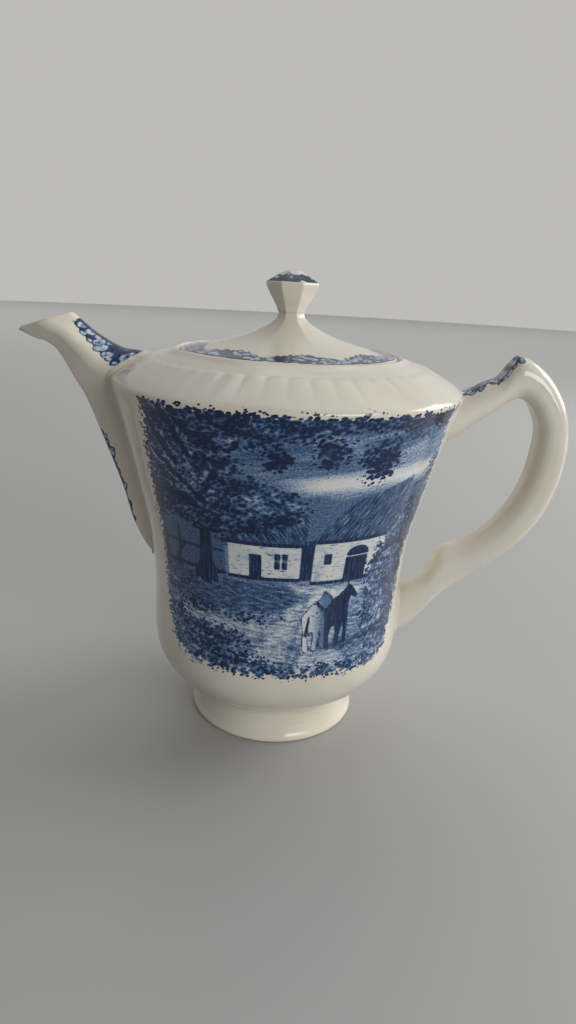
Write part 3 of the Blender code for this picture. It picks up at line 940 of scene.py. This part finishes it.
class Nodes:
    """Short forms for the nodes of one material, or of the world."""

    def __init__(self, tree, shader="Principled BSDF"):
        self.tree = tree
        self.shader = tree.nodes[shader]

    def feed(self, node, inputs):
        """Gives a node its inputs, by name or number, as values or as other nodes' outputs."""
        for name, value in inputs.items():
            if isinstance(value, bpy.types.NodeSocket):
                self.tree.links.new(value, node.inputs[name])
            elif value is not None:
                node.inputs[name].default_value = value

    def node(self, kind, inputs=None, **settings):
        """The outputs of a new node."""
        made = self.tree.nodes.new("ShaderNode" + kind)
        for name, value in settings.items():
            setattr(made, name, value)
        self.feed(made, inputs or {})
        return made.outputs

    def math(self, operation, a, b=None, c=None):
        return self.node("Math", {0: a, 1: b, 2: c}, operation=operation)[0]

    def add(self, *values):
        total = values[0]
        for value in values[1:]:
            total = self.math("ADD", total, value)
        return total

    def times(self, a, b):
        return self.math("MULTIPLY", a, b)

    def scaled(self, value, low, gain):
        """(value - low) times gain."""
        return self.math("MULTIPLY_ADD", value, gain, -low * gain)

    def step(self, value, low, high, out_low=0.0, out_high=1.0):
        """A smooth step from out_low at low to out_high at high."""
        inputs = {"Value": value, "From Min": low, "From Max": high, "To Min": out_low, "To Max": out_high}
        return self.node("MapRange", inputs, interpolation_type="SMOOTHSTEP")["Result"]

    def blend(self, share, a, b):
        return self.node("Mix", {0: share, 2: a, 3: b}, data_type="FLOAT")[0]

    def colour(self, share, a, b):
        return self.node("Mix", {0: share, 6: a, 7: b}, data_type="RGBA")[2]

    def noise(self, place, scale, detail=3.0, roughness=0.55):
        inputs = {"Vector": place, "Scale": scale, "Detail": detail, "Roughness": roughness}
        return self.node("TexNoise", inputs)["Fac"]

    def cells(self, place, scale, feature="F1"):
        inputs = {"Vector": place, "Scale": scale}
        return self.node("TexVoronoi", inputs, feature=feature)["Distance"]

    def grain(self, place, length, width, turn=0.0):
        """A place for textures whose features have that length and width, with the length at turn from x."""
        inputs = {"Vector": place, "Scale": (length, width, 1.0), "Rotation": (0, 0, math.radians(turn))}
        return self.node("Mapping", inputs, vector_type="TEXTURE")["Vector"]

    def attribute(self, name):
        return self.node("Attribute", attribute_name=name)["Vector"]

    def flat_place(self, x, y):
        return self.node("CombineXYZ", {"X": x, "Y": y})["Vector"]

    def parts(self, vector):
        return self.node("SeparateXYZ", {0: vector})

    def ramp(self, value, stops):
        made = self.node("ValToRGB", {"Fac": value})["Color"]
        elements = made.node.color_ramp.elements
        for element, (at, colour) in zip(elements, (stops[0], stops[-1])):
            element.position, element.color = at, (*colour, 1)
        for at, colour in stops[1:-1]:
            elements.new(at).color = (*colour, 1)
        return made


def new_material(name):
    material = bpy.data.materials.new(name)
    material.use_nodes = True
    return material, Nodes(material.node_tree)


IVORY = (0.67, 0.63, 0.55)
CREAM = (0.71, 0.66, 0.565)
SHADED = (0.93, 0.915, 0.87)
CRAZE_COLOUR = (0.30, 0.25, 0.18)
SPECK_COLOUR = (0.10, 0.085, 0.07)
GLAZE_ROUGHNESS, GLAZE_IOR = 0.09, 1.5
PEEL_STRENGTH, PEEL_DEPTH = 0.35, 0.0002
PETAL, VEIN, PETAL_EDGE = (4.2, 3.1), (2.2, 0.8), 0.42
SPRIG = (1.6, 1.2)
HOUSE_GAP_X = 10.5
INK = [
    (0.0, (0.62, 0.62, 0.60)),
    (0.20, (0.35, 0.42, 0.50)),
    (0.42, (0.098, 0.168, 0.29)),
    (0.66, (0.014, 0.050, 0.132)),
    (0.88, (0.001, 0.011, 0.048)),
]


def glaze(name, tint, print_made=None):
    """A glossy glaze with faint clouds, specks and crazing, over an optional blue print.
    print_made gives the ink's tone and how much of the surface it covers."""
    material, nodes = new_material(name)
    place = nodes.node("TexCoord")["Object"]
    clouds = nodes.step(nodes.noise(place, 22.0), 0.35, 0.7)
    shaded = [part * share for part, share in zip(tint, SHADED)]
    colour = nodes.colour(clouds, (*tint, 1), (*shaded, 1))
    craze = nodes.step(nodes.cells(place, 150.0, "DISTANCE_TO_EDGE"), 0.035, 0.0)
    craze = nodes.times(craze, nodes.step(nodes.noise(place, 18.0), 0.52, 0.75, 0.0, 0.10))
    colour = nodes.colour(craze, colour, (*CRAZE_COLOUR, 1))
    specks = nodes.step(nodes.cells(place, 95.0), 0.075, 0.045)
    specks = nodes.times(specks, nodes.step(nodes.noise(place, 60.0, 1.0), 0.66, 0.70, 0.0, 0.8))
    colour = nodes.colour(specks, colour, (*SPECK_COLOUR, 1))
    if print_made:
        tone, cover = print_made(nodes)
        colour = nodes.colour(cover, colour, nodes.ramp(tone, INK))
    wear = nodes.step(nodes.noise(place, 70.0), 0.3, 0.8, GLAZE_ROUGHNESS, GLAZE_ROUGHNESS + 0.06)
    fine_peel, slow_peel = nodes.noise(place, 120.0, 2.0), nodes.noise(place, 28.0, 1.0)
    peel = nodes.add(nodes.times(fine_peel, 0.6), nodes.times(slow_peel, 1.6))
    bump = nodes.node("Bump", {"Strength": PEEL_STRENGTH, "Distance": PEEL_DEPTH, "Height": peel})
    inputs = {"Base Color": colour, "Roughness": wear, "IOR": GLAZE_IOR, "Normal": bump["Normal"]}
    nodes.feed(nodes.shader, inputs)
    return material


def scroll_print(nodes):
    """A border of outlined petals and leaves, light inside and dark between, with a scalloped edge."""
    along, across, inside = nodes.parts(nodes.attribute("band"))
    flat = nodes.flat_place(along, across)
    petals = nodes.cells(nodes.grain(flat, *PETAL, 24.0), 1.0)
    veins = nodes.cells(nodes.grain(flat, *VEIN, -35.0), 1.0)
    tone = nodes.add(nodes.step(petals, 0.40, 0.50, 0.16, 0.72), nodes.step(petals, 0.17, 0.05, 0.0, 0.35))
    tone = nodes.add(tone, nodes.scaled(veins, 0.4, 0.6))
    inside = nodes.add(inside, nodes.scaled(petals, PETAL_EDGE, -3.0))
    tone = nodes.add(tone, nodes.step(inside, 0.8, 0.2, 0.0, 0.45), nodes.step(across, 2.7, 3.1, 0.0, 0.6))
    return tone, nodes.step(inside, -0.2, 0.15)


def picture_print(nodes):
    """The country scene as an engraver would cut it, in flecks, strokes and hatching."""
    place = nodes.attribute("place")
    flat_tone, leaf_tone, leaves = nodes.parts(nodes.attribute("ground"))
    pale, dark, roofs = nodes.parts(nodes.attribute("shapes"))
    sky, rough, panel = nodes.parts(nodes.attribute("strokes"))
    coarse = nodes.noise(place, 0.16, 4.0, 0.6)
    flecks = nodes.noise(place, 1.15, 3.0, 0.65)
    fine = nodes.noise(place, 2.6, 2.0, 0.6)

    clouds = nodes.noise(nodes.grain(place, 26.0, 3.2, 9.0), 1.0, 5.0, 0.62)
    tone = nodes.add(flat_tone, nodes.times(sky, nodes.scaled(clouds, 0.5, 0.8)))
    strokes = nodes.noise(nodes.grain(place, 4.2, 1.1, -5.0), 1.0, 4.0, 0.7)
    tone = nodes.add(tone, nodes.times(rough, nodes.scaled(strokes, 0.5, 1.5)))
    tone = nodes.add(tone, nodes.scaled(flecks, 0.5, 0.75), nodes.scaled(fine, 0.5, 0.6))

    x, z, _ = nodes.parts(place)
    folded = nodes.flat_place(nodes.math("ABSOLUTE", nodes.add(x, -HOUSE_GAP_X)), z)
    straws = nodes.noise(nodes.grain(folded, 5.0, 0.52, 58.0), 1.0, 2.0, 0.6)
    thatch = nodes.add(nodes.scaled(straws, 0.5, 1.7), nodes.scaled(flecks, 0.5, 0.6), 0.64)
    tone = nodes.blend(nodes.step(roofs, -0.15, 0.35), tone, thatch)

    courses = nodes.step(nodes.noise(nodes.grain(place, 2.6, 0.7), 1.0, 3.0, 0.6), 0.56, 0.68, 0.02, 0.55)
    plaster = nodes.add(courses, nodes.step(coarse, 0.48, 0.75, 0.0, 0.25))
    pale_tone = nodes.blend(rough, plaster, nodes.add(flat_tone, nodes.scaled(flecks, 0.5, 0.7)))
    tone = nodes.blend(nodes.step(pale, -0.25, 0.25), tone, pale_tone)
    planks = nodes.noise(nodes.grain(place, 9.0, 0.8, 90.0), 1.0, 2.0, 0.6)
    dark_tone = nodes.add(0.84, nodes.scaled(planks, 0.5, 1.1), nodes.scaled(flecks, 0.5, 0.5))
    tone = nodes.blend(nodes.step(dark, -0.25, 0.25), tone, dark_tone)

    sprigs = nodes.cells(nodes.grain(place, *SPRIG, 20.0), 1.0)
    leaf_edge = nodes.scaled(sprigs, PETAL_EDGE, -6.0)
    wander = nodes.scaled(nodes.noise(place, 0.28, 4.0, 0.65), 0.5, 12.0)
    ragged = nodes.add(leaves, wander, leaf_edge)
    clumps = nodes.noise(nodes.grain(place, 12.0, 5.0, -6.0), 1.0, 5.0, 0.62)
    foliage = nodes.add(leaf_tone, nodes.scaled(clumps, 0.5, 1.4), nodes.scaled(sprigs, PETAL_EDGE, -0.75))
    foliage = nodes.add(foliage, nodes.scaled(flecks, 0.5, 0.9))
    tone = nodes.blend(nodes.step(ragged, -0.5, 0.5), tone, foliage)

    edge = nodes.add(panel, nodes.scaled(nodes.noise(place, 0.26, 4.0, 0.7), 0.5, 9.0), leaf_edge)
    return tone, nodes.step(edge, 0.2, 0.8)


# ---- the pieces

make_camera()
make_floor()
make_light()

spout, spout_tree = make_spout(wall_core())
handle, handle_tree = make_handle(wall_core())
body = make_body(spout_tree, handle_tree)
cut(body, make_strainer_cutter())
lay_picture(body)
foot = make_foot_ring()
lid = make_lid()
knob = make_knob()

for piece, cad_body, node, slot, tint, print_made in (
    (body, "pot", "body", "printed_glaze", IVORY, picture_print),
    (foot, "pot", "foot_ring", "foot_glaze", CREAM, None),
    (spout, "pot", "spout", "spout_glaze", IVORY, scroll_print),
    (handle, "pot", "handle", "handle_glaze", IVORY, scroll_print),
    (lid, "lid", "lid", "lid_glaze", IVORY, scroll_print),
    (knob, "lid", "knob", "knob_glaze", IVORY, scroll_print),
):
    piece.data.materials.clear()
    piece.data.materials.append(glaze(slot, tint, print_made))
    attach(piece, cad_body)
    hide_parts(node)
